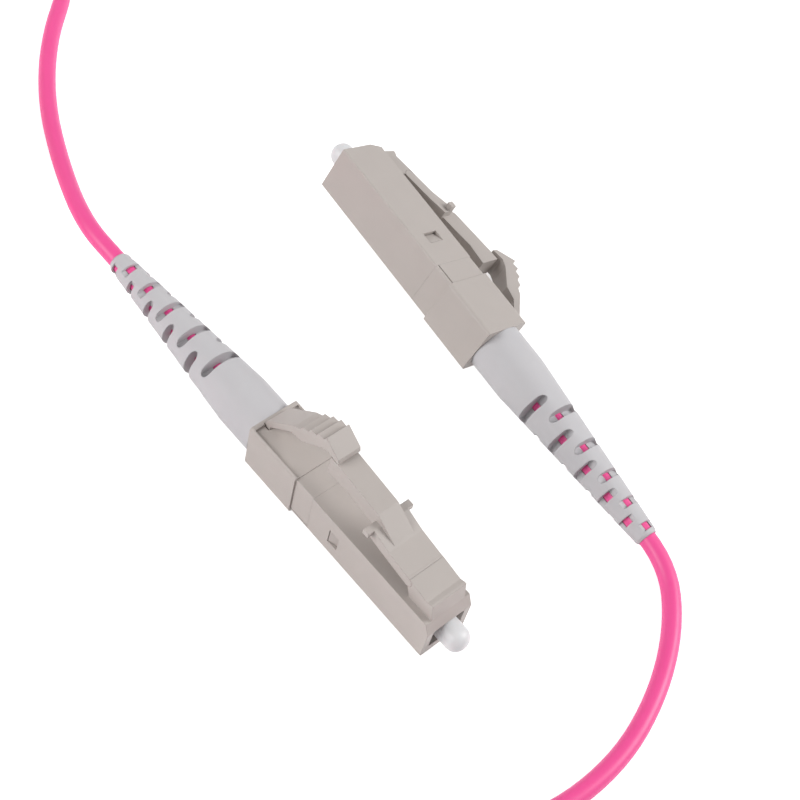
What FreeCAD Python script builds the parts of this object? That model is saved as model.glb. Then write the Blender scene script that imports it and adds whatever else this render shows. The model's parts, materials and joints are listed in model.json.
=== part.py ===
"""A simplex fibre patch lead: one cable with a small square latching connector on each end.

Every connector is drawn in its own frame: x points out of the ferrule and is 0 at the front
face of the plug, y points to the left, z points to the latch, and the ferrule axis is y = z = 0.
The near end (a) lies flat on its rear shell. The far end (b) lies on its side next to it.
The part's origin is the middle of the near end's resting face.
"""
import FreeCAD
import Part
import Sketcher
import math
import os
import re

SIZES = {
    # square plug that enters the adapter
    "plug_length": 13.8,
    "plug_half": 2.25,
    "lip_margin": 0.05,
    "lip_slant": 0.5,
    "mouth_side": 0.5,
    "mouth_under": 0.2,
    "mouth_over": 0.05,
    "mouth_depth": 6.0,
    "mouth_round": 0.3,
    "shoulder_thickness": 1.0,
    "cavity_wall": 0.5,
    "window_setback": 3.43,
    "window_length": 1.1,
    "window_floor": 0.9,
    "window_roof": 0.75,
    "outer_round": 0.15,
    # latch, moulded on the plug
    "latch_half": 1.7,
    "latch_lip_start": 0.8,
    "latch_lip_top": 4.05,
    "latch_lip_end": 1.0,
    "latch_dip_start": 1.4,
    "latch_dip_top": 3.85,
    "latch_top": 4.25,
    "latch_pivot": 3.7,
    "latch_pivot_height": 3.75,
    "knuckle_radius": 0.5,
    "knuckle_gap": 0.02,
    "root_overlap": 0.2,
    "arm_half": 1.0,
    "ramp_start": 6.0,
    "ramp_top": 4.65,
    "lug_front": 7.8,
    "lug_top": 5.3,
    "lug_rear": 8.45,
    "lug_floor": 4.2,
    "tab_length": 0.6,
    "tab_drop": 0.55,
    "arm_peak_height": 6.2,
    "arm_hook": 1.1,
    "arm_bend_height": 6.75,
    "arm_lap": 0.95,
    "arm_end_height": 6.8,
    "arm_end_floor": 4.75,
    "arm_heel": 1.5,
    "arm_heel_height": 3.5,
    "arm_toe": 3.2,
    "arm_toe_height": 3.8,
    "arm_pad": 2.1,
    "arm_pad_rise": 0.2,
    "arm_belly": 2.1,
    "arm_belly_rise": 0.5,
    "arm_overlap": 0.9,
    # inner body behind the plug
    "fit_gap": 0.05,
    "collar_length": 2.1,
    "spigot_gap": 0.8,
    "tail_spigot_length": 3.1,
    "spring_bore_radius": 1.3,
    "spring_setback": 0.3,
    "fibre_bore": 1.0,
    "barrel_radius": 1.15,
    "barrel_length": 3.2,
    "lug_lead_rise": 0.15,
    "groove_height": 1.95,
    "groove_width": 0.12,
    "groove_depth": 0.15,
    # rear shell
    "shell_length": 5.7,
    "shell_side": 0.15,
    "shell_under": 0.3,
    "shell_over": 0.25,
    "shell_round": 0.3,
    "recess_depth": 0.2,
    "recess_side": 0.25,
    "recess_wall": 0.4,
    "pocket_gap": 0.2,
    # trigger
    "trigger_half": 1.1,
    "trigger_setback": 0.6,
    "trigger_knuckle": 0.33,
    "trigger_reach": 7.85,
    "crest_reach": 6.15,
    "trigger_crest_height": 8.6,
    "tip_height": 7.0,
    "tip_thickness": 0.5,
    "tip_slant": 0.1,
    "pad_nose": 1.15,
    "pad_nose_height": 7.25,
    "pad_throat": 1.95,
    "pad_throat_height": 6.9,
    "pad_heel": 3.95,
    "pad_heel_height": 5.2,
    "strap_run": 2.5,
    "strap_rise": 2.35,
    "strap_foot": 0.25,
    "strap_foot_rise": 0.2,
    "strap_root": 0.1,
    "strap_root_rise": 0.62,
    "ridge_pitch": 0.84,
    "ridge_drop": 0.65,
    "ridge_bow": 0.075,
    "ridge_undercut": 0.22,
    "ridge_depth": 0.52,
    # optics
    "ferrule_radius": 0.625,
    "ferrule_seat": 0.1,
    "ferrule_reach": 0.6,
    "ferrule_chamfer": 0.15,
    "hub_wall": 0.35,
    "hub_gap": 0.075,
    "hub_reach": 0.8,
    "disc_length": 0.98,
    "disc_gap": 0.02,
    "stem_radius": 0.75,
    "stem_length": 2.5,
    "buffer_radius": 0.3,
    "buffer_gap": 0.02,
    "buffer_setback": 0.3,
    "spring_wire": 0.25,
    "spring_gap": 0.15,
    "spring_turns": 7,
    "seat_gap": 0.02,
    "cap_wall": 0.46,
    "cap_gap": 0.015,
    "cap_rear": 3.0,
    "cap_nose": 2.1,
    "cap_nose_round": 1.0,
    "cap_room": 0.3,
    # crimp and boot
    "sleeve_lap": 0.2,
    "sleeve_neck_length": 2.1,
    "sleeve_wall": 0.2,
    "neck_wall": 0.28,
    "yarn_gap": 0.01,
    "yarn_layer": 0.15,
    "yarn_lap": 0.1,
    "boot_seat": 0.4,
    "boot_head_wall": 0.25,
    "boot_head_gap": 0.02,
    "boot_radius": 2.425,
    "boot_root": 3.7,
    "boot_reach": 20.9,
    "boot_tip_wall": 0.17,
    "boot_end_round": 0.25,
    "boot_step_gap": 0.5,
    "boot_cable_gap": 0.03,
    "slot_bite": 0.08,
    "slot_setback": 3.1,
    "slot_pitch": 1.83,
    "slot_shrink": 0.946,
    "slot_width": 0.8,
    "slot_narrowing": 0.025,
    "slot_share": 0.85,
    # cable
    "cable_radius": 0.8,
    "cable_gap": 0.02,
    "held_setback": 6.5,
    "coil_mid_radius": 9.6,
    "coil_half_width": 3.2,
    "coil_height": 5.8,
    "coil_x": -49.6,
    "coil_y": -7.5,
    # how the two ends lie
    "near_yaw": 10.0,
    "far_yaw": 13.5,
    "far_pitch": 5.5,
    "far_x": 3.6,
    "far_y": 20.6,
    "far_reference": 20.0,
    "far_lift": 0.03,
}

# Sizes and places that follow from the sizes above. Places are distances behind the plug's front.
PLACES = {
    "cap_radius": "ferrule_radius + cap_gap + cap_wall",
    "hub_radius": "ferrule_radius + hub_wall",
    "shoulder_radius": "hub_radius + hub_gap",
    "mouth_half": "cap_radius + mouth_side",
    "mouth_floor": "cap_radius + mouth_under",
    "mouth_roof": "cap_radius + mouth_over",
    "lip_height": "mouth_roof + lip_margin",
    "cavity_half": "plug_half - cavity_wall",
    "window_start": "plug_length - window_setback",
    "lug_reach": "plug_half - fit_gap",
    "lug_lead": "cavity_half + lug_lead_rise",
    "shell_half": "plug_half + shell_side",
    "shell_floor": "plug_half + shell_under",
    "shell_roof": "plug_half + shell_over",
    "shell_rear": "plug_length + collar_length + shell_length",
    "recess_half": "shell_half - recess_side",
    "spigot_front": "mouth_depth + shoulder_thickness + spigot_gap",
    "spigot_rear": "plug_length + collar_length + tail_spigot_length",
    "pocket_end": "spigot_rear + pocket_gap",
    "barrel_rear": "spigot_rear + barrel_length",
    "trigger_pivot": "shell_rear - trigger_setback",
    "trigger_pivot_height": "shell_roof - fit_gap",
    "trigger_tip": "trigger_pivot - trigger_reach",
    "trigger_crest": "trigger_pivot - crest_reach",
    "arm_end": "trigger_tip + arm_lap",
    "arm_bend": "arm_end - arm_hook",
    "arm_peak": "lug_rear - fit_gap",
    "ferrule_rear": "mouth_depth - ferrule_seat",
    "hub_front": "mouth_depth - hub_reach",
    "disc_radius": "spring_bore_radius - fit_gap",
    "spring_radius": "spring_bore_radius - spring_gap",
    "spring_floor": "plug_length - spring_setback",
    "buffer_end": "barrel_rear - buffer_setback",
    "sleeve_front": "spigot_rear + sleeve_lap",
    "sleeve_step": "barrel_rear + sleeve_lap",
    "sleeve_rear": "sleeve_step + sleeve_neck_length",
    "sleeve_radius": "barrel_radius + yarn_layer + sleeve_wall",
    "sleeve_neck": "cable_radius + cable_gap + neck_wall",
    "yarn_front": "sleeve_front + yarn_lap",
    "yarn_rear": "barrel_rear - fit_gap",
    "cable_start": "sleeve_step + sleeve_lap",
    "boot_front": "pocket_end + boot_seat",
    "boot_bore": "sleeve_radius + fit_gap",
    "boot_head": "boot_bore + boot_head_wall",
    "boot_straight": "shell_rear + boot_root",
    "boot_end": "shell_rear + boot_reach",
    "boot_end_radius": "cable_radius + boot_cable_gap + boot_tip_wall",
    "boot_bore_step": "sleeve_rear + boot_step_gap",
    "slot_start": "boot_straight + slot_setback",
    "slot_floor": "cable_radius - slot_bite",
    "held_end": "boot_end - held_setback",
}

# The cable's route on the floor, from inside each boot to the coil: places chosen by hand.
NEAR_ROUTE = [
    (-28.4, 5.0, 2.55),
    (-35.4, 9.1, 1.1),
    (-42.2, 13.8, 0.8),
    (-47.9, 19.7, 0.8),
    (-52.1, 26.4, 0.8),
    (-59.5, 28.2, 0.8),
    (-65.7, 24.2, 0.8),
    (-67.8, 17.2, 0.8),
    (-67.2, 9.6, 0.8),
    (-63.9, 2.2, 0.8),
    (-61.4, -8.6, 0.8),
]
FAR_ROUTE = [
    (28.0, 14.7, 0.97),
    (31.5, 10.4, 0.8),
    (33.8, 4.5, 0.8),
    (34.6, -2.0, 0.8),
    (33.2, -8.9, 0.8),
    (29.4, -15.1, 0.8),
    (23.8, -21.5, 0.8),
    (17.0, -27.7, 0.8),
    (9.9, -33.6, 0.8),
    (2.9, -36.1, 0.8),
    (-5.8, -34.6, 0.8),
    (-16.0, -31.9, 0.8),
    (-26.6, -28.2, 0.8),
    (-35.8, -24.0, 1.2),
    (-43.4, -19.6, 2.5),
    (-49.5, -18.7, 2.2),
]
SLOTS = 10
RIDGES = 4

doc = FreeCAD.newDocument("fibre_lead")
sheet = doc.addObject("Spreadsheet::Sheet", "sizes")
for row, (alias, value) in enumerate(SIZES.items(), start=1):
    sheet.set(f"A{row}", alias)
    sheet.set(f"B{row}", str(value))
    sheet.setAlias(f"B{row}", alias)
doc.recompute()


def sized(text):
    """Turn the names in a formula into references to the sheet, working the places out first."""
    def swap(found):
        name = found.group()
        return f"({sized(PLACES[name])})" if name in PLACES else f"sizes.{name}"
    return re.sub(r"[a-z][a-z_]+", swap, text)


def amount(name):
    """Give one size or place as a number."""
    if name in SIZES:
        return SIZES[name]
    total = 0.0
    sign = 1
    for word in PLACES[name].split():
        if word in "+-":
            sign = 1 if word == "+" else -1
        else:
            total += sign * amount(word)
    return total


def new_body(name):
    """Start one piece."""
    body = doc.addObject("PartDesign::Body", name)
    body.Label = name
    return body


def new_sketch(body, plane, name, offset=None):
    """Start a sketch on one of the body's own origin planes, moved along its normal by a formula."""
    support = [item for item in body.Origin.OriginFeatures if item.Role == plane][0]
    sketch = body.newObject("Sketcher::SketchObject", f"{body.Name}_{name}")
    sketch.AttachmentSupport = [(support, "")]
    sketch.MapMode = "FlatFace"
    if offset is not None:
        sketch.setExpression(".AttachmentOffset.Base.z", sized(offset))
    return sketch


def bind(sketch, kind, geometry, end, start, formula):
    """Tie one coordinate of a point to a formula of sizes."""
    index = sketch.addConstraint(Sketcher.Constraint(kind, -1, 1, geometry, end, start))
    sketch.setExpression(f"Constraints[{index}]", sized(formula))


def outline(sketch, corners):
    """Draw one closed outline of straight edges, each corner bound to a pair of formulas."""
    count = len(corners)
    first = sketch.GeometryCount
    ring = [2 * math.pi * index / count for index in range(count)]
    start = [FreeCAD.Vector(math.cos(turn), math.sin(turn), 0) for turn in ring]
    for index in range(count):
        sketch.addGeometry(Part.LineSegment(start[index], start[(index + 1) % count]), False)
    for index, (across, up) in enumerate(corners):
        here = first + index
        after = first + (index + 1) % count
        sketch.addConstraint(Sketcher.Constraint("Coincident", here, 2, after, 1))
        bind(sketch, "DistanceX", here, 1, start[index].x, across)
        bind(sketch, "DistanceY", here, 1, start[index].y, up)


def rectangle(sketch, left, right, low, high):
    """Draw one rectangle from four formulas."""
    outline(sketch, [(left, low), (right, low), (right, high), (left, high)])


def add(body, name, sketch, width):
    """Pad a sketch equally to both sides of its plane."""
    pad = body.newObject("PartDesign::Pad", f"{body.Name}_{name}_pad")
    pad.Profile = sketch
    pad.SideType = "Symmetric"
    pad.setExpression("Length", sized(width))
    return pad


def cut(body, name, sketch, width):
    """Pocket a sketch equally to both sides of its plane."""
    pocket = body.newObject("PartDesign::Pocket", f"{body.Name}_{name}_pocket")
    pocket.Profile = sketch
    pocket.SideType = "Symmetric"
    pocket.setExpression("Length", sized(width))
    return pocket


def side_pad(body, name, corners, width):
    """Add a piece drawn in side view, as wide as the formula says."""
    sketch = new_sketch(body, "XZ_Plane", name)
    outline(sketch, corners)
    return add(body, name, sketch, width)


def side_cut(body, name, corners, width):
    """Cut away a form drawn in side view, as wide as the formula says."""
    sketch = new_sketch(body, "XZ_Plane", name)
    outline(sketch, corners)
    return cut(body, name, sketch, width)


def side_disc(body, name, along, height, radius, width, hollow):
    """Add a round boss, or cut a round seat, that runs across the connector."""
    sketch = new_sketch(body, "XZ_Plane", name)
    sketch.addGeometry(Part.Circle(FreeCAD.Vector(1, 1, 0), FreeCAD.Vector(0, 0, 1), 0.5), False)
    bind(sketch, "DistanceX", 0, 3, 1.0, along)
    bind(sketch, "DistanceY", 0, 3, 1.0, height)
    index = sketch.addConstraint(Sketcher.Constraint("Radius", 0, 0.5))
    sketch.setExpression(f"Constraints[{index}]", sized(radius))
    if hollow:
        return cut(body, name, sketch, width)
    return add(body, name, sketch, width)


def turned(body, name, corners, hollow=False):
    """Turn an outline of (x, radius) corners about the ferrule axis."""
    sketch = new_sketch(body, "XY_Plane", name)
    outline(sketch, corners)
    kind = "PartDesign::Groove" if hollow else "PartDesign::Revolution"
    feature = body.newObject(kind, f"{body.Name}_{name}_turned")
    feature.Profile = sketch
    feature.ReferenceAxis = (sketch, ["H_Axis"])
    feature.Angle = 360
    return feature


def rounded(body, name, base, radius, chosen):
    """Round the edges of the base feature that the test picks."""
    doc.recompute()
    edges = [
        f"Edge{index}"
        for index, edge in enumerate(base.Shape.Edges, start=1)
        if chosen(edge)
    ]
    if not edges:
        raise RuntimeError(f"{body.Name}: no edge to round for {name}")
    fillet = body.newObject("PartDesign::Fillet", f"{body.Name}_{name}_fillet")
    fillet.Base = (base, edges)
    fillet.setExpression("Radius", sized(radius))
    return fillet


def lengthwise(edge, half_width, height):
    """Say whether an edge runs along x at the given distance from the middle and height."""
    box = edge.BoundBox
    along = box.YLength < 1e-6 and box.ZLength < 1e-6
    return along and abs(abs(box.YMin) - half_width) < 1e-4 and abs(box.ZMin - height) < 1e-4


def ringed(edge, place):
    """Say whether an edge is a circle about the ferrule axis at the given place along it."""
    box = edge.BoundBox
    return box.XLength < 1e-6 and abs(box.XMin - place) < 1e-4 and abs(box.YMin + box.YMax) < 1e-4


def plug_housing(name):
    """Square plug with its mouth, shoulder, rear cavity, side windows and the root of the latch."""
    body = new_body(name)
    shell = side_pad(body, "shell", [
        ("-plug_length", "-plug_half"),
        ("0", "-plug_half"),
        ("0", "lip_height"),
        ("-lip_slant", "plug_half"),
        ("-plug_length", "plug_half"),
    ], "2 * plug_half")
    half = SIZES["plug_half"]
    rounded(body, "edges", shell, "outer_round", lambda edge: lengthwise(edge, half, -half))
    side_pad(body, "latch_root", [
        ("-lip_slant", "plug_half - root_overlap"),
        ("-lip_slant", "plug_half"),
        ("-latch_lip_start", "latch_lip_top"),
        ("-latch_lip_end", "latch_lip_top"),
        ("-latch_dip_start", "latch_dip_top"),
        ("root_overlap - latch_pivot", "latch_top"),
        ("root_overlap - latch_pivot", "latch_pivot_height - knuckle_radius"),
        ("knuckle_radius + root_overlap - latch_pivot", "plug_half - root_overlap"),
    ], "2 * latch_half")
    side_disc(body, "latch_seat", "-latch_pivot", "latch_pivot_height",
              "knuckle_radius + knuckle_gap", "2 * plug_half", True)
    mouth = side_cut(body, "mouth", [
        ("-mouth_depth", "-mouth_floor"),
        ("plug_half", "-mouth_floor"),
        ("plug_half", "mouth_roof"),
        ("-mouth_depth", "mouth_roof"),
    ], "2 * mouth_half")
    mouth_half = amount("mouth_half")
    heights = (-amount("mouth_floor"), amount("mouth_roof"))
    rounded(body, "mouth", mouth, "mouth_round", lambda edge: any(
        lengthwise(edge, mouth_half, height) for height in heights))
    turned(body, "shoulder_bore", [
        ("-plug_length", "0"),
        ("-mouth_depth / 2", "0"),
        ("-mouth_depth / 2", "shoulder_radius"),
        ("-plug_length", "shoulder_radius"),
    ], hollow=True)
    side_cut(body, "cavity", [
        ("-plug_length - plug_half", "-cavity_half"),
        ("-mouth_depth - shoulder_thickness", "-cavity_half"),
        ("-mouth_depth - shoulder_thickness", "cavity_half"),
        ("-plug_length - plug_half", "cavity_half"),
    ], "2 * cavity_half")
    side_cut(body, "windows", [
        ("-window_start - window_length", "-window_floor"),
        ("-window_start", "-window_floor"),
        ("-window_start", "window_roof"),
        ("-window_start - window_length", "window_roof"),
    ], "4 * plug_half")
    return body


def latch_arm(name):
    """Cantilever latch: a broad root, two side lugs with tabs, and a narrow raised arm."""
    body = new_body(name)
    side_pad(body, "root", [
        ("-latch_pivot - fit_gap", "latch_pivot_height - knuckle_radius"),
        ("-latch_pivot - arm_heel", "arm_heel_height"),
        ("-latch_pivot - arm_toe", "arm_toe_height"),
        ("-lug_rear", "lug_floor"),
        ("-lug_rear", "lug_top"),
        ("-lug_front", "lug_top"),
        ("-ramp_start", "ramp_top"),
        ("-latch_pivot - fit_gap", "latch_top"),
    ], "2 * latch_half")
    side_disc(body, "knuckle", "-latch_pivot", "latch_pivot_height", "knuckle_radius",
              "2 * latch_half", False)
    side_pad(body, "arm", [
        ("-ramp_start", "ramp_top - fit_gap"),
        ("-arm_peak", "arm_peak_height"),
        ("-arm_bend", "arm_bend_height"),
        ("-arm_end", "arm_end_height"),
        ("-arm_end", "arm_end_floor"),
        ("-arm_end + arm_pad", "arm_end_floor + arm_pad_rise"),
        ("-arm_peak - arm_belly", "lug_floor + arm_belly_rise"),
        ("-lug_rear", "lug_floor + arm_pad_rise"),
        ("-ramp_start - arm_overlap", "lug_floor - 2 * fit_gap"),
    ], "2 * arm_half")
    side_pad(body, "tabs", [
        ("-lug_rear", "lug_top - tab_drop"),
        ("-lug_rear + tab_length", "lug_top - tab_drop"),
        ("-lug_rear + tab_length", "lug_top"),
        ("-lug_rear", "lug_top"),
    ], "2 * plug_half")
    return body


def backbone(name):
    """Inner body: front spigot with snap lugs, visible collar, rear spigot and crimp barrel."""
    body = new_body(name)
    front = "-spigot_front"
    rear = "-spigot_rear"
    collar = side_pad(body, "collar", [
        ("-plug_length - collar_length", "-plug_half"),
        ("-plug_length", "-plug_half"),
        ("-plug_length", "plug_half"),
        ("-plug_length - collar_length", "plug_half"),
    ], "2 * plug_half")
    half = SIZES["plug_half"]
    rounded(body, "collar", collar, "outer_round", lambda edge: any(
        lengthwise(edge, half, height) for height in (-half, half)))
    side_pad(body, "spigots", [
        (rear, "-cavity_half + fit_gap"),
        (front, "-cavity_half + fit_gap"),
        (front, "cavity_half - fit_gap"),
        (rear, "cavity_half - fit_gap"),
    ], "2 * (cavity_half - fit_gap)")
    sketch = new_sketch(body, "XY_Plane", "lugs", "(window_roof - window_floor) / 2")
    outline(sketch, [
        ("-window_start - window_length + fit_gap", "-lug_reach"),
        ("-window_start - window_length + fit_gap", "lug_reach"),
        ("-window_start - fit_gap", "lug_lead"),
        ("-window_start - fit_gap", "-lug_lead"),
    ])
    add(body, "lugs", sketch, "window_floor + window_roof - 2 * fit_gap")
    sketch = new_sketch(body, "XY_Plane", "grooves", "-groove_height")
    for side in ("", "-"):
        outline(sketch, [
            ("-plug_length - collar_length", f"{side}(plug_half - groove_depth)"),
            ("-plug_length", f"{side}(plug_half - groove_depth)"),
            ("-plug_length", f"{side}(plug_half + groove_depth)"),
            ("-plug_length - collar_length", f"{side}(plug_half + groove_depth)"),
        ])
    cut(body, "grooves", sketch, "groove_width")
    turned(body, "barrel", [
        (f"{rear} - barrel_length", "0"),
        (f"{rear} + fit_gap", "0"),
        (f"{rear} + fit_gap", "barrel_radius"),
        (f"{rear} - barrel_length", "barrel_radius"),
    ])
    turned(body, "spring_bore", [
        ("-spring_floor", "0"),
        (f"{front} + fit_gap", "0"),
        (f"{front} + fit_gap", "spring_bore_radius"),
        ("-spring_floor", "spring_bore_radius"),
    ], hollow=True)
    turned(body, "fibre_bore", [
        (f"{rear} - barrel_length - fit_gap", "0"),
        ("-spring_floor + fit_gap", "0"),
        ("-spring_floor + fit_gap", "fibre_bore / 2"),
        (f"{rear} - barrel_length - fit_gap", "fibre_bore / 2"),
    ], hollow=True)
    return body


def rear_body(name):
    """Rear shell: recessed top with the trigger's seat, a pocket for the spigot and the boot's bore."""
    body = new_body(name)
    front = "-plug_length - collar_length"
    rear = "-shell_rear"
    shell = side_pad(body, "shell", [
        (rear, "-shell_floor"),
        (front, "-shell_floor"),
        (front, "shell_roof"),
        (rear, "shell_roof"),
    ], "2 * shell_half")
    half = amount("shell_half")
    heights = (-amount("shell_floor"), amount("shell_roof"))
    rounded(body, "edges", shell, "shell_round", lambda edge: any(
        lengthwise(edge, half, height) for height in heights))
    side_cut(body, "recess", [
        (f"{rear} + recess_wall", "shell_roof - recess_depth"),
        (f"{front} + shell_round", "shell_roof - recess_depth"),
        (f"{front} + shell_round", "shell_roof + shell_round"),
        (f"{rear} + recess_wall", "shell_roof + shell_round"),
    ], "2 * recess_half")
    side_disc(body, "trigger_seat", "-trigger_pivot", "trigger_pivot_height",
              "trigger_knuckle + knuckle_gap", "2 * trigger_half + 4 * fit_gap", True)
    side_cut(body, "spigot_pocket", [
        ("-pocket_end", "-cavity_half"),
        (f"{front} + fit_gap", "-cavity_half"),
        (f"{front} + fit_gap", "cavity_half"),
        ("-pocket_end", "cavity_half"),
    ], "2 * cavity_half")
    turned(body, "boot_bore", [
        (f"{rear} - fit_gap", "0"),
        ("-pocket_end + fit_gap", "0"),
        ("-pocket_end + fit_gap", "boot_head + boot_head_gap"),
        (f"{rear} - fit_gap", "boot_head + boot_head_gap"),
    ], hollow=True)
    return body


def trigger(name):
    """Anti-snag trigger: a strap that rises from its seat to a stepped finger pad over the latch."""
    body = new_body(name)
    ridges = []
    for index in range(RIDGES + 1):
        place = f"-trigger_crest - {index} * ridge_pitch"
        height = (f"trigger_crest_height - {index} * ridge_drop"
                  f" + {index * (RIDGES - index)} * ridge_bow")
        ridges.append((place, height))
        if index < RIDGES:
            ridges.append((f"{place} - ridge_undercut", f"{height} - ridge_depth"))
    side_pad(body, "strap", [
        ("-trigger_pivot + strap_root", "trigger_pivot_height"),
        ("-trigger_pivot + strap_run", "trigger_pivot_height + strap_rise"),
        ("-trigger_tip - pad_heel", "pad_heel_height"),
        ("-trigger_tip - pad_throat", "pad_throat_height"),
        ("-trigger_tip - pad_nose", "pad_nose_height"),
        ("-trigger_tip", "tip_height"),
        ("-trigger_tip - tip_slant", "tip_height + tip_thickness"),
        *ridges,
        ("-trigger_pivot - strap_root", "trigger_pivot_height + strap_root_rise"),
        ("-trigger_pivot - strap_foot", "trigger_pivot_height + strap_foot_rise"),
    ], "2 * trigger_half")
    side_disc(body, "knuckle", "-trigger_pivot", "trigger_pivot_height", "trigger_knuckle",
              "2 * trigger_half", False)
    return body


def ferrule(name):
    """Ceramic ferrule with a chamfered tip."""
    body = new_body(name)
    turned(body, "rod", [
        ("-ferrule_rear", "0"),
        ("ferrule_reach", "0"),
        ("ferrule_reach", "ferrule_radius - ferrule_chamfer"),
        ("ferrule_reach - ferrule_chamfer", "ferrule_radius"),
        ("-ferrule_rear", "ferrule_radius"),
    ])
    return body


def ferrule_flange(name):
    """Metal hub that holds the ferrule, the disc that the spring pushes, and the hollow stem."""
    body = new_body(name)
    disc_front = "-mouth_depth - shoulder_thickness - disc_gap"
    disc_rear = f"{disc_front} - disc_length"
    bore = "buffer_radius + buffer_gap"
    turned(body, "hub", [
        (f"{disc_rear} - stem_length", bore),
        (f"{disc_rear} - stem_length", "stem_radius"),
        (disc_rear, "stem_radius"),
        (disc_rear, "disc_radius"),
        (disc_front, "disc_radius"),
        (disc_front, "hub_radius"),
        ("-hub_front", "hub_radius"),
        ("-hub_front", "ferrule_radius + cap_gap"),
        ("-ferrule_rear - disc_gap", "ferrule_radius + cap_gap"),
        ("-ferrule_rear - disc_gap", bore),
    ])
    return body


def spring(name):
    """Compression spring between the disc and the floor of the backbone's bore."""
    body = new_body(name)
    start = "mouth_depth + shoulder_thickness + disc_gap + disc_length + seat_gap"
    sketch = new_sketch(body, "XY_Plane", "wire")
    sketch.addGeometry(Part.Circle(FreeCAD.Vector(-9, 1, 0), FreeCAD.Vector(0, 0, 1), 0.1), False)
    bind(sketch, "DistanceX", 0, 3, -9.0, "-spring_floor + seat_gap + spring_wire / 2")
    bind(sketch, "DistanceY", 0, 3, 1.0, "spring_radius - spring_wire / 2")
    index = sketch.addConstraint(Sketcher.Constraint("Radius", 0, 0.1))
    sketch.setExpression(f"Constraints[{index}]", sized("spring_wire / 2"))
    helix = body.newObject("PartDesign::AdditiveHelix", f"{name}_coils")
    helix.Profile = sketch
    helix.ReferenceAxis = (sketch, ["H_Axis"])
    helix.Mode = "height-turns-angle"
    travel = f"spring_floor - ({start}) - seat_gap - spring_wire"
    helix.setExpression("Height", sized(travel))
    helix.setExpression("Turns", sized("spring_turns"))
    return body


def fibre(name):
    """Buffered fibre from the ferrule's rear to the end of the jacket."""
    body = new_body(name)
    turned(body, "buffer", [
        ("-buffer_end", "0"),
        ("-ferrule_rear - 2 * disc_gap", "0"),
        ("-ferrule_rear - 2 * disc_gap", "buffer_radius"),
        ("-buffer_end", "buffer_radius"),
    ])
    return body


def dust_cap(name):
    """White cap that slides off the ferrule: a closed sleeve with a domed nose."""
    body = new_body(name)
    sleeve = turned(body, "sleeve", [
        ("-cap_rear", "ferrule_radius + cap_gap"),
        ("ferrule_reach + cap_room", "ferrule_radius + cap_gap"),
        ("ferrule_reach + cap_room", "0"),
        ("cap_nose", "0"),
        ("cap_nose", "cap_radius"),
        ("-cap_rear", "cap_radius"),
    ])
    nose = SIZES["cap_nose"]
    rounded(body, "nose", sleeve, "cap_nose_round", lambda edge: ringed(edge, nose))
    return body


def crimp_sleeve(name):
    """Stepped metal sleeve: the wide end grips the yarn, the neck grips the jacket."""
    body = new_body(name)
    turned(body, "tube", [
        ("-sleeve_front", "sleeve_radius - sleeve_wall"),
        ("-sleeve_front", "sleeve_radius"),
        ("-sleeve_step - sleeve_wall", "sleeve_radius"),
        ("-sleeve_step - sleeve_wall", "sleeve_neck"),
        ("-sleeve_rear", "sleeve_neck"),
        ("-sleeve_rear", "cable_radius + cable_gap"),
        ("-sleeve_step", "cable_radius + cable_gap"),
        ("-sleeve_step", "sleeve_radius - sleeve_wall"),
    ])
    return body


def strength_yarn(name):
    """Yarn spread evenly round the crimp barrel, under the sleeve."""
    body = new_body(name)
    turned(body, "layer", [
        ("-yarn_rear", "barrel_radius + yarn_gap"),
        ("-yarn_front", "barrel_radius + yarn_gap"),
        ("-yarn_front", "sleeve_radius - sleeve_wall - yarn_gap"),
        ("-yarn_rear", "sleeve_radius - sleeve_wall - yarn_gap"),
    ])
    return body


def held_cable(name):
    """The cable's straight stretch, from inside the crimp sleeve to near the boot's end."""
    body = new_body(name)
    turned(body, "jacket", [
        ("-held_end", "0"),
        ("-cable_start", "0"),
        ("-cable_start", "cable_radius"),
        ("-held_end", "cable_radius"),
    ])
    return body


def slot_place(index):
    """Give the formula for the distance of a boot slot behind the front face."""
    return f"slot_start + slot_pitch * (1 - slot_shrink ^ {index}) / (1 - slot_shrink)"


def slot_reach(index):
    """Give the formula for half a slot's length: a share of the boot's radius there."""
    fall = "(boot_radius - boot_end_radius) / (boot_end - boot_straight)"
    return f"slot_share * (boot_radius - ({slot_place(index)} - boot_straight) * {fall})"


def round_ended(sketch, along, half, reach):
    """Draw one slot across the boot: two straight sides joined by half circles."""
    first = sketch.GeometryCount
    normal = FreeCAD.Vector(0, 0, 1)
    for side in (1, -1):
        circle = Part.Circle(FreeCAD.Vector(-30, side, 0), normal, 0.4)
        spread = (0, math.pi) if side > 0 else (math.pi, 2 * math.pi)
        sketch.addGeometry(Part.ArcOfCircle(circle, *spread), False)
    for edge in (-0.4, 0.4):
        sketch.addGeometry(Part.LineSegment(
            FreeCAD.Vector(-30 + edge, side * edge / 0.4, 0),
            FreeCAD.Vector(-30 + edge, -side * edge / 0.4, 0)), False)
    upper, lower, left, right = range(first, first + 4)
    for arc, end, line, point in (
            (upper, 2, left, 1), (left, 2, lower, 1), (lower, 2, right, 1), (right, 2, upper, 1)):
        sketch.addConstraint(Sketcher.Constraint("Tangent", arc, end, line, point))
    index = sketch.addConstraint(Sketcher.Constraint("Radius", upper, 0.4))
    sketch.setExpression(f"Constraints[{index}]", sized(half))
    for arc, side in ((upper, 1), (lower, -1)):
        bind(sketch, "DistanceX", arc, 3, -30.0, f"-({along})")
        sign = "" if side > 0 else "-"
        bind(sketch, "DistanceY", arc, 3, float(side), f"{sign}(({reach}) - ({half}))")


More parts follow.
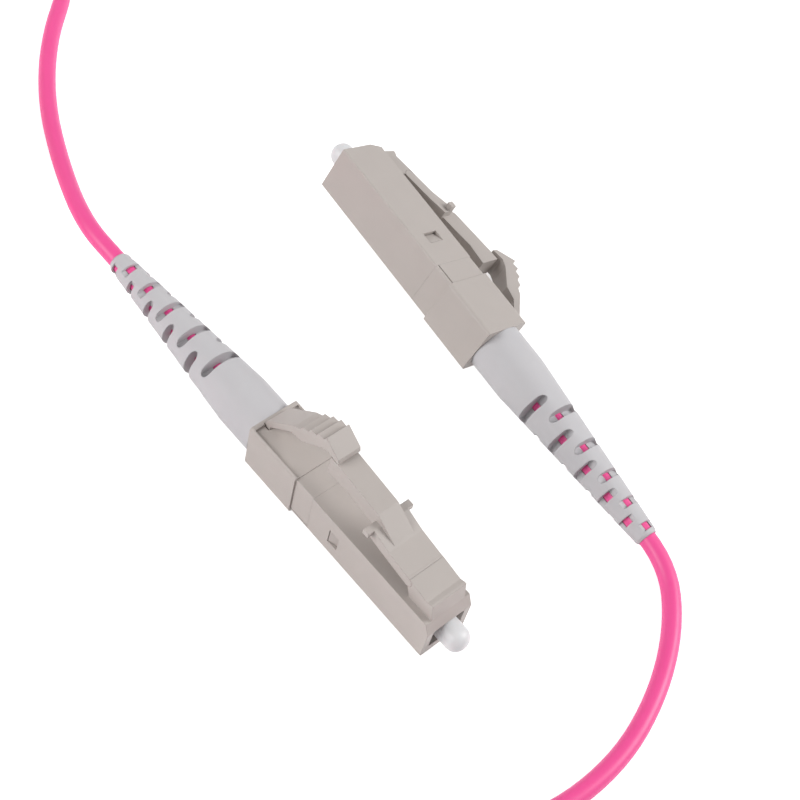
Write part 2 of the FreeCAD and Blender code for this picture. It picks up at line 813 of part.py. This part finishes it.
def slot_row(body, name, plane, indices):
    """Cut every second slot of the boot on both sides of one plane."""
    sketch = new_sketch(body, plane, name, "slot_floor")
    for index in indices:
        half = f"(slot_width - {index} * slot_narrowing) / 2"
        round_ended(sketch, slot_place(index), half, slot_reach(index))
    pocket = body.newObject("PartDesign::Pocket", f"{body.Name}_{name}_pocket")
    pocket.Profile = sketch
    pocket.Reversed = True
    pocket.setExpression("Length", sized("2 * boot_radius"))
    middle = [item for item in body.Origin.OriginFeatures if item.Role == plane][0]
    mirrored = body.newObject("PartDesign::Mirrored", f"{body.Name}_{name}_mirrored")
    mirrored.Originals = [pocket]
    mirrored.MirrorPlane = (middle, [""])
    body.Tip = mirrored
    return mirrored


def boot(name):
    """Slotted strain relief: a head inside the rear shell, a straight root and a long taper."""
    body = new_body(name)
    cable_bore = "cable_radius + boot_cable_gap"
    turned(body, "cone", [
        ("-boot_front", "boot_bore"),
        ("-boot_front", "boot_head"),
        ("-shell_rear", "boot_head"),
        ("-shell_rear", "boot_radius"),
        ("-boot_straight", "boot_radius"),
        ("-boot_end + boot_end_round", "boot_end_radius"),
        ("-boot_end", cable_bore + " + boot_cable_gap"),
        ("-boot_end", cable_bore),
        ("-boot_bore_step", cable_bore),
        ("-boot_bore_step", "boot_bore"),
    ])
    slot_row(body, "upper_slots", "XY_Plane", range(0, SLOTS, 2))
    slot_row(body, "side_slots", "XZ_Plane", range(1, SLOTS, 2))
    return body


PIECES = [
    plug_housing, latch_arm, backbone, rear_body, trigger, ferrule, ferrule_flange, spring,
    fibre, dust_cap, crimp_sleeve, strength_yarn, held_cable, boot,
]


def near_placement():
    """Lie flat: the middle of the rear shell's bottom face is the part's origin."""
    middle = amount("shell_rear") - SIZES["shell_length"] / 2
    turn = FreeCAD.Rotation(FreeCAD.Vector(0, 0, 1), -SIZES["near_yaw"])
    return FreeCAD.Placement(
        turn.multVec(FreeCAD.Vector(middle, 0, amount("shell_floor"))), turn)


def far_placement():
    """Lie on the side: the trigger's crest and the latch tab set the roll, and the nose is raised."""
    across = SIZES["plug_half"] - SIZES["trigger_half"]
    roll = 90 + math.degrees(math.atan2(across, SIZES["trigger_crest_height"] - SIZES["lug_top"]))
    turn = FreeCAD.Rotation(FreeCAD.Vector(0, 0, 1), 180 - SIZES["far_yaw"])
    turn = turn * FreeCAD.Rotation(FreeCAD.Vector(0, 1, 0), -SIZES["far_pitch"])
    turn = turn * FreeCAD.Rotation(FreeCAD.Vector(1, 0, 0), roll)
    crest = FreeCAD.Vector(
        -amount("trigger_crest"), -SIZES["trigger_half"], SIZES["trigger_crest_height"])
    middle = turn.multVec(FreeCAD.Vector(-SIZES["far_reference"], 0, 0))
    base = FreeCAD.Vector(
        SIZES["far_x"] - middle.x,
        SIZES["far_y"] - middle.y,
        SIZES["far_lift"] - turn.multVec(crest).z)
    return FreeCAD.Placement(base, turn)


def rounded_route(points):
    """Join straight runs by tangent arcs, each as large as its two runs allow."""
    edges = []
    radii = []
    start = points[0]
    for before, corner, after in zip(points, points[1:], points[2:]):
        incoming = (corner - before).normalize()
        outgoing = (after - corner).normalize()
        turn = incoming.getAngle(outgoing)
        leg = 0.45 * min((corner - before).Length, (after - corner).Length)
        radius = leg / math.tan(turn / 2)
        radii.append(radius)
        first = corner - incoming * leg
        last = corner + outgoing * leg
        inward = (outgoing - incoming).normalize()
        middle = corner + inward * (radius / math.cos(turn / 2) - radius)
        edges.append(Part.LineSegment(start, first).toShape())
        edges.append(Part.Arc(first, middle, last).toShape())
        start = last
    edges.append(Part.LineSegment(start, points[-1]).toShape())
    return Part.Wire(edges), radii


def cable_tube(name, points):
    """Sweep the cable along its route, and compare its volume with its section and length."""
    path, radii = rounded_route(points)
    radius = SIZES["cable_radius"]
    section = Part.Wire([Part.Circle(points[0], points[1] - points[0], radius).toShape()])
    tube = path.makePipeShell([section], True, True)
    feature = doc.addObject("Part::Feature", name)
    feature.Label = name
    feature.Shape = tube
    feature.Placement = FreeCAD.Placement()
    expected = math.pi * radius ** 2 * path.Length
    print(f"{name}: length {path.Length:.1f}, volume {tube.Volume / expected:.4f} of section x length")
    print(f"{name}: arc radii {[round(value, 1) for value in radii]}")
    if abs(tube.Volume / expected - 1) > 0.01:
        raise RuntimeError(f"{name}: the tube's volume is wrong")
    return feature


def cable_coil(name):
    """The put-away length: one ring of the outer size of the wound turns."""
    body = new_body(name)
    sketch = new_sketch(body, "XZ_Plane", "ring")
    rectangle(sketch, "coil_mid_radius - coil_half_width", "coil_mid_radius + coil_half_width",
              "0", "coil_height")
    ring = body.newObject("PartDesign::Revolution", f"{name}_turned")
    ring.Profile = sketch
    ring.ReferenceAxis = (sketch, ["V_Axis"])
    ring.Angle = 360
    body.setExpression(".Placement.Base.x", sized("coil_x"))
    body.setExpression(".Placement.Base.y", sized("coil_y"))
    return body


def check_document():
    """Stop if any object failed or any piece has no valid shape."""
    doc.recompute()
    for item in doc.Objects:
        if "Invalid" in item.State or "Error" in item.State:
            raise RuntimeError(f"{item.Name} failed: {item.State}")
    for piece in pieces:
        if piece.Shape.isNull() or not piece.Shape.isValid():
            raise RuntimeError(f"{piece.Label} has no valid shape")


pieces = []
near = near_placement()
far = far_placement()
for end, placement in (("a", near), ("b", far)):
    for make in PIECES:
        piece = make(f"{make.__name__}_{end}")
        piece.Placement = placement
        pieces.append(piece)

for name, placement, route in (
        ("cable_a_side", near, NEAR_ROUTE), ("cable_b_side", far, FAR_ROUTE)):
    start = placement.multVec(FreeCAD.Vector(-amount("held_end"), 0, 0))
    pieces.append(cable_tube(name, [start] + [FreeCAD.Vector(*place) for place in route]))
pieces.append(cable_coil("cable_coil"))

check_document()
print("far end at", far.Base, "rotation", far.Rotation.Q)
os.makedirs("parts", exist_ok=True)
for piece in pieces:
    piece.Shape.exportStep(f"parts/{piece.Label}.step")
    box = piece.Shape.BoundBox
    print(f"{piece.Label}: {piece.Shape.Volume:.3f} mm3, {len(piece.Shape.Solids)} solid, "
          f"x {box.XMin:.2f}..{box.XMax:.2f} y {box.YMin:.2f}..{box.YMax:.2f} z {box.ZMin:.2f}..{box.ZMax:.2f}")
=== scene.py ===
"""A simplex fibre patch lead: two small latching connectors and the pink cable between them.

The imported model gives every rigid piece. This script dresses those pieces, draws the cable at
its real length, and sets the floor, the lamps and the camera.
"""
from __future__ import annotations

import json
import logging
import math
from dataclasses import dataclass
from enum import Enum
from typing import ClassVar

import bpy
from mathutils import Matrix, Vector

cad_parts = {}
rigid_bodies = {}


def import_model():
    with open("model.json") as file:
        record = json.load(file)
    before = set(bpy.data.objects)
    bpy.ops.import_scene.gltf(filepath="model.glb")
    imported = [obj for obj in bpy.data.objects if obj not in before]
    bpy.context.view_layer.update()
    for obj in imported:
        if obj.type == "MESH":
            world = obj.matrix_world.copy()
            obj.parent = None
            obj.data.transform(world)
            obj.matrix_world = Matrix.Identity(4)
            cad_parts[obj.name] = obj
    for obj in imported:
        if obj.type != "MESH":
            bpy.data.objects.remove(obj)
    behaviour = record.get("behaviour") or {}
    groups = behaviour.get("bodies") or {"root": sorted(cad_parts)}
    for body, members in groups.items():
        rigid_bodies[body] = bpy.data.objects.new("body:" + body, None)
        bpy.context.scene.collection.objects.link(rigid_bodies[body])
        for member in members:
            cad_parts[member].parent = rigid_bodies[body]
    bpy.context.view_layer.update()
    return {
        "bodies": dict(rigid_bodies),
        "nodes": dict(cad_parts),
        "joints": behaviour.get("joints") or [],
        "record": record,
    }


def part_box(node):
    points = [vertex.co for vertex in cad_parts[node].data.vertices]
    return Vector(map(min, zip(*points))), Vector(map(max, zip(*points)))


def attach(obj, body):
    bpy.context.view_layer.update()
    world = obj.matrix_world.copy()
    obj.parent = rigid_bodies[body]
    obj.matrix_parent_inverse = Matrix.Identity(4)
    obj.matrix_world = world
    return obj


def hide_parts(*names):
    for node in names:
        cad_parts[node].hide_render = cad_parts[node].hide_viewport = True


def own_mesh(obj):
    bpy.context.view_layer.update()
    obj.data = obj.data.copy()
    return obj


LOG = logging.getLogger("fibre_lead")
MM = 0.001
WHITE = (1.0, 1.0, 1.0, 1.0)

# The standard curve between a display value and its linear light.
TOE_END = 0.04045
TOE_SLOPE = 12.92
CURVE_OFFSET = 0.055
CURVE_POWER = 2.4


def linear(red: int, green: int, blue: int) -> tuple[float, float, float, float]:
    """Turn an 8-bit display colour into the linear colour that a shader takes.

    Args:
        red: Red, 0 to 255.
        green: Green, 0 to 255.
        blue: Blue, 0 to 255.

    Returns:
        The linear colour with an alpha of 1.
    """
    channels = []
    for value in (red, green, blue):
        share = value / 255
        if share <= TOE_END:
            channels.append(share / TOE_SLOPE)
        else:
            channels.append(((share + CURVE_OFFSET) / (1 + CURVE_OFFSET)) ** CURVE_POWER)
    return (*channels, 1.0)


def add_to_scene(thing: bpy.types.Object) -> None:
    """Link an object into the scene."""
    bpy.context.scene.collection.objects.link(thing)


def joint_direction(frame: dict, name: str) -> Vector:
    """Give the direction of one of the frame's joints.

    Args:
        frame: The loaded frame.
        name: The joint's name.

    Returns:
        The joint's axis.
    """
    return Vector(next(joint["axis"] for joint in frame["joints"] if joint["name"] == name))


class Slot(Enum):
    """The record's material slots."""

    CONNECTOR = "connector_polymer"
    BOOT = "boot_polymer"
    CABLE = "cable_jacket"
    CAP = "cap_polymer"
    CERAMIC = "ceramic"
    PLATED = "plated_metal"
    SPRING = "spring_steel"
    CRIMP = "crimp_metal"
    YARN = "yarn"
    BUFFER = "fibre_buffer"


@dataclass(frozen=True)
class Finish:
    """One procedural surface: colour with fine variation, roughness, bump and softened edges.

    Sizes are in millimetres.
    """

    slot: Slot
    colour: tuple[float, float, float, float]
    shade: tuple[float, float, float, float]
    roughness: float
    roughness_spread: float = 0.06
    grain_mm: float = 0.12
    grain_depth_mm: float = 0.002
    mottle_mm: float = 2.5
    edge_mm: float = 0.08
    metallic: float = 0.0
    scatter: float = 0.0
    scatter_mm: float = 0.6
    coat: float = 0.0

    scatter_reach: ClassVar[tuple[float, float, float]] = (1.0, 0.85, 0.8)
    mottle_detail: ClassVar[float] = 3.0
    fine_detail: ClassVar[float] = 2.0
    gloss_share: ClassVar[float] = 1 / 3
    grain_strength: ClassVar[float] = 0.6
    edge_samples: ClassVar[int] = 6

    def material(self) -> bpy.types.Material:
        """Build the material.

        Returns:
            The finished material, named after its slot.
        """
        surface = bpy.data.materials.new(self.slot.value)
        surface.use_nodes = True
        nodes = surface.node_tree.nodes
        links = surface.node_tree.links
        shader = nodes["Principled BSDF"]
        shader.inputs["Metallic"].default_value = self.metallic
        shader.inputs["Subsurface Weight"].default_value = self.scatter
        shader.inputs["Subsurface Radius"].default_value = self.scatter_reach
        shader.inputs["Subsurface Scale"].default_value = self.scatter_mm * MM
        shader.inputs["Coat Weight"].default_value = self.coat
        place = nodes.new("ShaderNodeTexCoord").outputs["Object"]

        mottle = self.noise(nodes, links, place, self.mottle_mm, self.mottle_detail)
        tint = nodes.new("ShaderNodeMix")
        tint.data_type = "RGBA"
        tint.inputs["A"].default_value = self.colour
        tint.inputs["B"].default_value = self.shade
        links.new(mottle.outputs["Fac"], tint.inputs["Factor"])
        links.new(tint.outputs["Result"], shader.inputs["Base Color"])

        gloss_mm = self.mottle_mm * self.gloss_share
        gloss = self.noise(nodes, links, place, gloss_mm, self.fine_detail)
        spread = nodes.new("ShaderNodeMapRange")
        spread.inputs["To Min"].default_value = self.roughness - self.roughness_spread
        spread.inputs["To Max"].default_value = self.roughness + self.roughness_spread
        links.new(gloss.outputs["Fac"], spread.inputs["Value"])
        links.new(spread.outputs["Result"], shader.inputs["Roughness"])

        grain = self.noise(nodes, links, place, self.grain_mm, self.fine_detail)
        bump = nodes.new("ShaderNodeBump")
        bump.inputs["Strength"].default_value = self.grain_strength
        bump.inputs["Distance"].default_value = self.grain_depth_mm * MM
        links.new(grain.outputs["Fac"], bump.inputs["Height"])
        if self.edge_mm > 0:
            edge = nodes.new("ShaderNodeBevel")
            edge.samples = self.edge_samples
            edge.inputs["Radius"].default_value = self.edge_mm * MM
            links.new(edge.outputs["Normal"], bump.inputs["Normal"])
        links.new(bump.outputs["Normal"], shader.inputs["Normal"])
        return surface

    @staticmethod
    def noise(
        nodes: bpy.types.Nodes,
        links: bpy.types.NodeLinks,
        place: bpy.types.NodeSocket,
        size_mm: float,
        detail: float,
    ) -> bpy.types.Node:
        """Add one noise of a given size.

        Args:
            nodes: The material's nodes.
            links: The material's links.
            place: The coordinates that the noise follows.
            size_mm: The size of one blot, in millimetres.
            detail: How many finer layers the noise has.

        Returns:
            The noise node.
        """
        made = nodes.new("ShaderNodeTexNoise")
        made.inputs["Scale"].default_value = 1 / (size_mm * MM)
        made.inputs["Detail"].default_value = detail
        links.new(place, made.inputs["Vector"])
        return made


FINISHES = (
    Finish(Slot.CONNECTOR, linear(185, 177, 172), linear(179, 171, 166), 0.5, scatter=0.05,
           scatter_mm=0.25),
    Finish(Slot.BOOT, linear(198, 196, 198), linear(192, 190, 193), 0.6, grain_mm=0.2,
           edge_mm=0.12, scatter=0.15),
    Finish(Slot.CABLE, linear(243, 84, 155), linear(238, 76, 148), 0.42, grain_mm=0.25,
           grain_depth_mm=0.003, mottle_mm=4.0, edge_mm=0.0, scatter=0.08, scatter_mm=0.3),
    Finish(Slot.CAP, linear(222, 222, 223), linear(217, 217, 219), 0.38, edge_mm=0.1,
           scatter=0.3),
    Finish(Slot.CERAMIC, linear(240, 239, 233), linear(236, 235, 228), 0.15,
           roughness_spread=0.03, edge_mm=0.03, scatter=0.1, scatter_mm=0.2, coat=0.3),
    Finish(Slot.PLATED, linear(206, 202, 194), linear(196, 191, 183), 0.28, metallic=1.0,
           edge_mm=0.04),
    Finish(Slot.SPRING, linear(188, 189, 190), linear(176, 177, 179), 0.3, metallic=1.0,
           edge_mm=0.0),
    Finish(Slot.CRIMP, linear(205, 204, 200), linear(192, 191, 187), 0.34, metallic=1.0,
           edge_mm=0.05),
    Finish(Slot.YARN, linear(226, 200, 96), linear(206, 176, 70), 0.7, grain_mm=0.08,
           grain_depth_mm=0.02, mottle_mm=0.5, edge_mm=0.0),
    Finish(Slot.BUFFER, linear(240, 240, 236), linear(232, 232, 226), 0.45, edge_mm=0.0),
)


class End(Enum):
    """The two ends of the lead."""

    NEAR = "a"
    FAR = "b"


@dataclass
class Connector:
    """One connector: its rigid pieces come from the frame and get their finishes here."""

    end: End

    slots: ClassVar[dict[str, Slot]] = {
        "plug_housing": Slot.CONNECTOR,
        "latch_arm": Slot.CONNECTOR,
        "backbone": Slot.CONNECTOR,
        "rear_body": Slot.CONNECTOR,
        "trigger": Slot.CONNECTOR,
        "ferrule": Slot.CERAMIC,
        "ferrule_flange": Slot.PLATED,
        "fibre": Slot.BUFFER,
        "dust_cap": Slot.CAP,
        "crimp_sleeve": Slot.CRIMP,
        "strength_yarn": Slot.YARN,
        "held_cable": Slot.CABLE,
        "boot": Slot.BOOT,
    }

    def pieces(self, nodes: dict[str, bpy.types.Object]) -> list[bpy.types.Object]:
        """List this end's pieces.

        Args:
            nodes: The frame's nodes by name.

        Returns:
            The pieces, in the order of the slots.
        """
        return [nodes[f"{name}_{self.end.value}"] for name in self.slots]

    def dress(
        self,
        nodes: dict[str, bpy.types.Object],
        surfaces: dict[Slot, bpy.types.Material],
    ) -> None:
        """Give every piece of this end its finish.

        Args:
            nodes: The frame's nodes by name.
            surfaces: The materials by slot.
        """
        for piece, slot in zip(self.pieces(nodes), self.slots.values()):
            piece.data.materials.clear()
            piece.data.materials.append(surfaces[slot])
            LOG.info("%s wears %s", piece.name, slot.value)


@dataclass
class Spring:
    """The spring behind one ferrule, wound at one fixed length.

    Sizes and places are in millimetres, and places are distances behind the plug's front.
    """

    end: End
    front: float = 8.02
    rear: float = 13.48
    coil_radius: float = 1.025
    wire_radius: float = 0.125
    turns: int = 7
    points_per_turn: int = 24
    wire_rounding: int = 3
    closed_pitch: float = 2.04  # of a closed turn, in wire radii
    travel: float = 0.6
    fibre_front: float = 5.94
    fibre_rear: float = 21.9

    def rise(self, wound: float) -> float:
        """Give the wire's place along the spring: the first and last turn lie closed.

        Args:
            wound: How many turns are wound so far.

        Returns:
            The distance of the wire's middle from its start.
        """
        length = self.rear - self.front - 2 * self.wire_radius
        closed = self.closed_pitch * self.wire_radius
        open_pitch = (length - 2 * closed) / (self.turns - 2)
        if wound < 1:
            return closed * wound
        if wound > self.turns - 1:
            return length - closed * (self.turns - wound)
        return closed + open_pitch * (wound - 1)

    def build(self, frame: dict, surfaces: dict[Slot, bpy.types.Material]) -> bpy.types.Object:
        """Wind the spring and put it in place of its plain solid.

        Args:
            frame: The loaded frame.
            surfaces: The materials by slot.

        Returns:
            The spring.
        """
        joint = f"ferrule_float_{self.end.value}"
        inward = joint_direction(frame, joint).normalized()
        across = inward.cross(Vector((0, 0, 1))).normalized()
        over = across.cross(inward)
        low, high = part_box(f"fibre_{self.end.value}")
        plug_front = (low + high) / 2 / MM - inward * (self.fibre_front + self.fibre_rear) / 2
        start = plug_front + inward * (self.front + self.wire_radius)

        curve = bpy.data.curves.new(f"spring_wire_{self.end.value}", "CURVE")
        curve.dimensions = "3D"
        curve.bevel_depth = self.wire_radius * MM
        curve.bevel_resolution = self.wire_rounding
        curve.use_fill_caps = True
        spline = curve.splines.new("POLY")
        count = self.turns * self.points_per_turn
        spline.points.add(count)
        for index, point in enumerate(spline.points):
            wound = index / self.points_per_turn
            angle = 2 * math.pi * wound
            place = start + inward * self.rise(wound)
            place += self.coil_radius * (across * math.cos(angle) + over * math.sin(angle))
            point.co = (*(place * MM), 1.0)
        drawn = bpy.data.objects.new(curve.name, curve)
        mesh = bpy.data.meshes.new_from_object(drawn)
        bpy.data.objects.remove(drawn)
        name = f"wound_spring_{self.end.value}"
        mesh.name = name
        mesh.polygons.foreach_set("use_smooth", [True] * len(mesh.polygons))
        mesh.materials.clear()
        mesh.materials.append(surfaces[Slot.SPRING])
        spring = bpy.data.objects.new(name, mesh)
        add_to_scene(spring)
        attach(spring, "root")
        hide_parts(f"spring_{self.end.value}")
        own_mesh(spring)
        LOG.info("%s has %d turns", name, self.turns)
        return spring


@dataclass
class Cable:
    """The cable from boot to boot, with its spare length wound beside the near end.

    Sizes and places are in millimetres.
    """

    radius: float = 0.8
    length: float = 955.0
    held_length: float = 13.4
    boot_overhang: float = 6.5
    near_route: tuple[tuple[float, float, float], ...] = (
        (-28.4, 5.0, 2.55),
        (-35.4, 9.1, 1.1),
        (-42.2, 13.8, 0.8),
        (-47.9, 19.7, 0.8),
        (-52.1, 26.4, 0.8),
        (-59.5, 28.2, 0.8),
        (-65.7, 24.2, 0.8),
        (-67.8, 17.2, 0.8),
        (-67.2, 9.6, 0.8),
        (-63.9, 2.2, 0.8),
    )
    far_route: tuple[tuple[float, float, float], ...] = (
        (28.0, 14.7, 0.97),
        (31.5, 10.4, 0.8),
        (33.8, 4.5, 0.8),
        (34.6, -2.0, 0.8),
        (33.2, -8.9, 0.8),
        (29.4, -15.1, 0.8),
        (23.8, -21.5, 0.8),
        (17.0, -27.7, 0.8),
        (9.9, -33.6, 0.8),
        (2.9, -36.1, 0.8),
        (-5.8, -34.6, 0.8),
        (-16.0, -31.9, 0.8),
        (-26.6, -28.2, 0.8),
        (-35.8, -24.0, 1.2),
        (-43.4, -19.6, 2.8),
    )
    coil_mid_radius: float = 9.6
    points_per_turn: int = 16
    turns: float = 12.25
    first_crossing: float = 0.93  # where in its turn the cable moves to the next lane
    crossing_step: float = 0.062  # how much earlier it does so on each further turn
    crossing_span: float = 0.11  # how much of a turn the move takes
    rounding: int = 6
    steps_per_point: int = 6
    spline_order: int = 3

    # Each turn's lane: cable widths out from the coil's middle radius, and layers up.
    lane_steps: ClassVar[tuple[tuple[float, int], ...]] = (
        (1.5, 0), (0.5, 0), (-0.5, 0), (-1.5, 0), (-1, 1), (0, 1), (-0.5, 2), (-1.5, 2),
        (-1, 3), (0, 3), (0.5, 2), (1.5, 2), (1, 1),
    )

    def lanes(self) -> list[tuple[float, float]]:
        """List the places that the turns take in the coil's section, in winding order.

        Returns:
            Pairs of radius and height, each one cable width from the next.
        """
        width = 2 * self.radius
        rise = width * math.sqrt(3) / 2
        return [
            (self.coil_mid_radius + across * width, self.radius + up * rise)
            for across, up in self.lane_steps
        ]

    def coil(self, centre: Vector) -> list[Vector]:
        """Wind the turns as points of the cable's own spline.

        Args:
            centre: The middle of the coil on the floor.

        Returns:
            The points from where the near stretch joins the coil to where the far stretch does.
        """
        lanes = self.lanes()
        pull = 1 / math.cos(math.pi / self.points_per_turn)
        count = round(self.turns * self.points_per_turn)
        points = []
        for index in range(count + 1):
            wound = index / self.points_per_turn
            turn = min(int(wound), len(lanes) - 1)
            after = min(turn + 1, len(lanes) - 1)
            crossing = self.first_crossing - self.crossing_step * turn
            share = (wound - turn - crossing) / self.crossing_span + 0.5
            share = min(max(share, 0.0), 1.0)
            share = share * share * (3 - 2 * share)
            radius = lanes[turn][0] * (1 - share) + lanes[after][0] * share
            height = lanes[turn][1] * (1 - share) + lanes[after][1] * share
            angle = math.pi + 2 * math.pi * wound
            points.append(centre + Vector((
                radius * pull * math.cos(angle), radius * pull * math.sin(angle), height)))
        return points

    def held_end(self, end: End, forward: Vector) -> Vector:
        """Find where the stretch of cable held in a boot ends.

        Args:
            end: The end of the lead.
            forward: The direction of that end's ferrule.

        Returns:
            The middle of the stretch's rear face, in millimetres.
        """
        low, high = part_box(f"held_cable_{end.value}")
        middle = (low + high) / 2 / MM
        return middle - forward * self.held_length / 2

    def build(
        self,
        frame: dict,
        surfaces: dict[Slot, bpy.types.Material],
        far_pieces: list[bpy.types.Object],
    ) -> None:
        """Args:
            frame: The loaded frame.
            surfaces: The materials by slot.
            far_pieces: The pieces of the connector on the far end; not used.
        """
        starts = {}
        exits = {}
        for end in End:
            forward = joint_direction(frame, f"dust_cap_pull_{end.value}")
            starts[end] = self.held_end(end, forward)
            exits[end] = starts[end] - forward * self.boot_overhang
        low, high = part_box("cable_coil")
        centre = (low + high) / 2 / MM
        centre.z = 0
        path = [starts[End.NEAR], (starts[End.NEAR] + exits[End.NEAR]) / 2, exits[End.NEAR]]
        path += [Vector(place) for place in self.near_route]
        path += self.coil(centre)
        path += [Vector(place) for place in reversed(self.far_route)]
        path += [(starts[End.FAR] + exits[End.FAR]) / 2, starts[End.FAR]]

        curve = bpy.data.curves.new("cable", "CURVE")
        curve.dimensions = "3D"
        curve.bevel_depth = self.radius * MM
        curve.bevel_resolution = self.rounding
        curve.resolution_u = self.steps_per_point
        curve.use_fill_caps = True
        spline = curve.splines.new("NURBS")
        spline.points.add(len(path) - 1)
        for point, place in zip(spline.points, path):
            point.co = (*(place * MM), 1.0)
        spline.order_u = self.spline_order
        spline.use_endpoint_u = True
        cable = bpy.data.objects.new("cable", curve)
        add_to_scene(cable)
        curve.materials.append(surfaces[Slot.CABLE])
        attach(cable, "root")
        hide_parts("cable_a_side", "cable_b_side", "cable_coil")
        LOG.info("cable has %d points", len(path))


@dataclass
class Studio:
    """The white floor, the lamps and the camera.

    Lengths are in metres, apart from the lens, the sensor and the eye's place.
    """

    lens_mm: float = 71.8
    sensor_mm: float = 36.0
    eye_mm: tuple[float, float, float] = (35.94, -59.04, 110.1)
    right: tuple[float, float, float] = (0.7656, 0.6215, 0.165)
    up: tuple[float, float, float] = (-0.5922, 0.5807, 0.558)
    nearest: float = 0.005
    furthest: float = 10.0
    floor_half: float = 1.5
    floor_grey: float = 0.86
    floor_roughness: float = 0.9
    floor_shine: float = 0.1
    floor_glow: float = 0.66
    lamp_side: float = 0.5
    left_lamp: tuple[float, float, float] = (-0.45, -0.6, 0.45)
    left_watts: float = 5.2
    right_lamp: tuple[float, float, float] = (0.5, 0.55, 0.5)
    right_watts: float = 6.3
    room_light: float = 0.3
    room_shown: float = 1.0

    def camera(self) -> None:
        """Place the camera over the near end's right front."""
        data = bpy.data.cameras.new("camera")
        data.lens = self.lens_mm
        data.sensor_width = self.sensor_mm
        data.clip_start = self.nearest
        data.clip_end = self.furthest
        camera = bpy.data.objects.new("camera", data)
        right = Vector(self.right).normalized()
        up = Vector(self.up)
        up = (up - right * up.dot(right)).normalized()
        back = right.cross(up)
        turn = Matrix((right, up, back)).transposed()
        camera.matrix_world = Matrix.Translation(Vector(self.eye_mm) * MM) @ turn.to_4x4()
        add_to_scene(camera)
        bpy.context.scene.camera = camera

    @staticmethod
    def looked_at(nodes: bpy.types.Nodes, links: bpy.types.NodeLinks) -> bpy.types.NodeSocket:
        """Make a factor that is 1 for the ground as it is seen, also in metal or through glass.

        Args:
            nodes: The nodes of the floor's material or of the room.
            links: Their links.

        Returns:
            The factor.
        """
        path = nodes.new("ShaderNodeLightPath")
        factor = path.outputs["Is Camera Ray"]
        for ray in ("Is Glossy Ray", "Is Transmission Ray"):
            either = nodes.new("ShaderNodeMath")
            either.operation = "MAXIMUM"
            links.new(factor, either.inputs[0])
            links.new(path.outputs[ray], either.inputs[1])
            factor = either.outputs["Value"]
        return factor

    def floor(self) -> None:
        """Lay the white floor."""
        half = self.floor_half
        mesh = bpy.data.meshes.new("floor")
        corners = [(-half, -half, 0), (half, -half, 0), (half, half, 0), (-half, half, 0)]
        mesh.from_pydata(corners, [], [(0, 1, 2, 3)])
        floor = bpy.data.objects.new("floor", mesh)
        add_to_scene(floor)
        surface = bpy.data.materials.new("floor")
        surface.use_nodes = True
        nodes = surface.node_tree.nodes
        links = surface.node_tree.links
        shader = nodes["Principled BSDF"]
        shader.inputs["Base Color"].default_value = (*[self.floor_grey] * 3, 1.0)
        shader.inputs["Roughness"].default_value = self.floor_roughness
        shader.inputs["Specular IOR Level"].default_value = self.floor_shine
        glow = nodes.new("ShaderNodeEmission")
        glow.inputs["Strength"].default_value = self.floor_glow
        total = nodes.new("ShaderNodeAddShader")
        choice = nodes.new("ShaderNodeMixShader")
        links.new(shader.outputs["BSDF"], total.inputs[0])
        links.new(glow.outputs["Emission"], total.inputs[1])
        links.new(self.looked_at(nodes, links), choice.inputs["Fac"])
        links.new(shader.outputs["BSDF"], choice.inputs[1])
        links.new(total.outputs["Shader"], choice.inputs[2])
        links.new(choice.outputs["Shader"], nodes["Material Output"].inputs["Surface"])
        mesh.materials.append(surface)

    def lamp(self, name: str, place: Vector, watts: float) -> None:
        """Hang one soft square lamp that points at the object.

        Args:
            name: The lamp's name.
            place: Where it hangs.
            watts: Its power.
        """
        data = bpy.data.lights.new(name, "AREA")
        data.size = self.lamp_side
        data.energy = watts
        lamp = bpy.data.objects.new(name, data)
        lamp.location = place
        lamp.rotation_euler = (-place).to_track_quat("-Z", "Y").to_euler()
        add_to_scene(lamp)

    def lights(self) -> None:
        """Hang a soft lamp on each side of the camera, and fill with a plain white room."""
        self.lamp("left_lamp", Vector(self.left_lamp), self.left_watts)
        self.lamp("right_lamp", Vector(self.right_lamp), self.right_watts)
        world = bpy.data.worlds.new("room")
        world.use_nodes = True
        nodes = world.node_tree.nodes
        links = world.node_tree.links
        back = nodes["Background"]
        back.inputs["Color"].default_value = WHITE
        strength = nodes.new("ShaderNodeMapRange")
        strength.inputs["To Min"].default_value = self.room_light
        strength.inputs["To Max"].default_value = self.room_shown
        links.new(self.looked_at(nodes, links), strength.inputs["Value"])
        links.new(strength.outputs["Result"], back.inputs["Strength"])
        bpy.context.scene.world = world

    def build(self) -> None:
        """Set the whole stage."""
        self.floor()
        self.lights()
        self.camera()


def main() -> None:
    """Build the lead round the frame."""
    logging.basicConfig(level=logging.INFO, format="%(name)s: %(message)s")
    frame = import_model()
    bpy.context.scene.view_settings.view_transform = "Standard"
    surfaces = {finish.slot: finish.material() for finish in FINISHES}
    ends = {end: Connector(end) for end in End}
    for connector in ends.values():
        connector.dress(frame["nodes"], surfaces)
    springs = {end: Spring(end).build(frame, surfaces) for end in End}
    far_pieces = ends[End.FAR].pieces(frame["nodes"]) + [springs[End.FAR]]
    Cable().build(frame, surfaces, far_pieces)
    Studio().build()


if __name__ == "__main__":
    main()
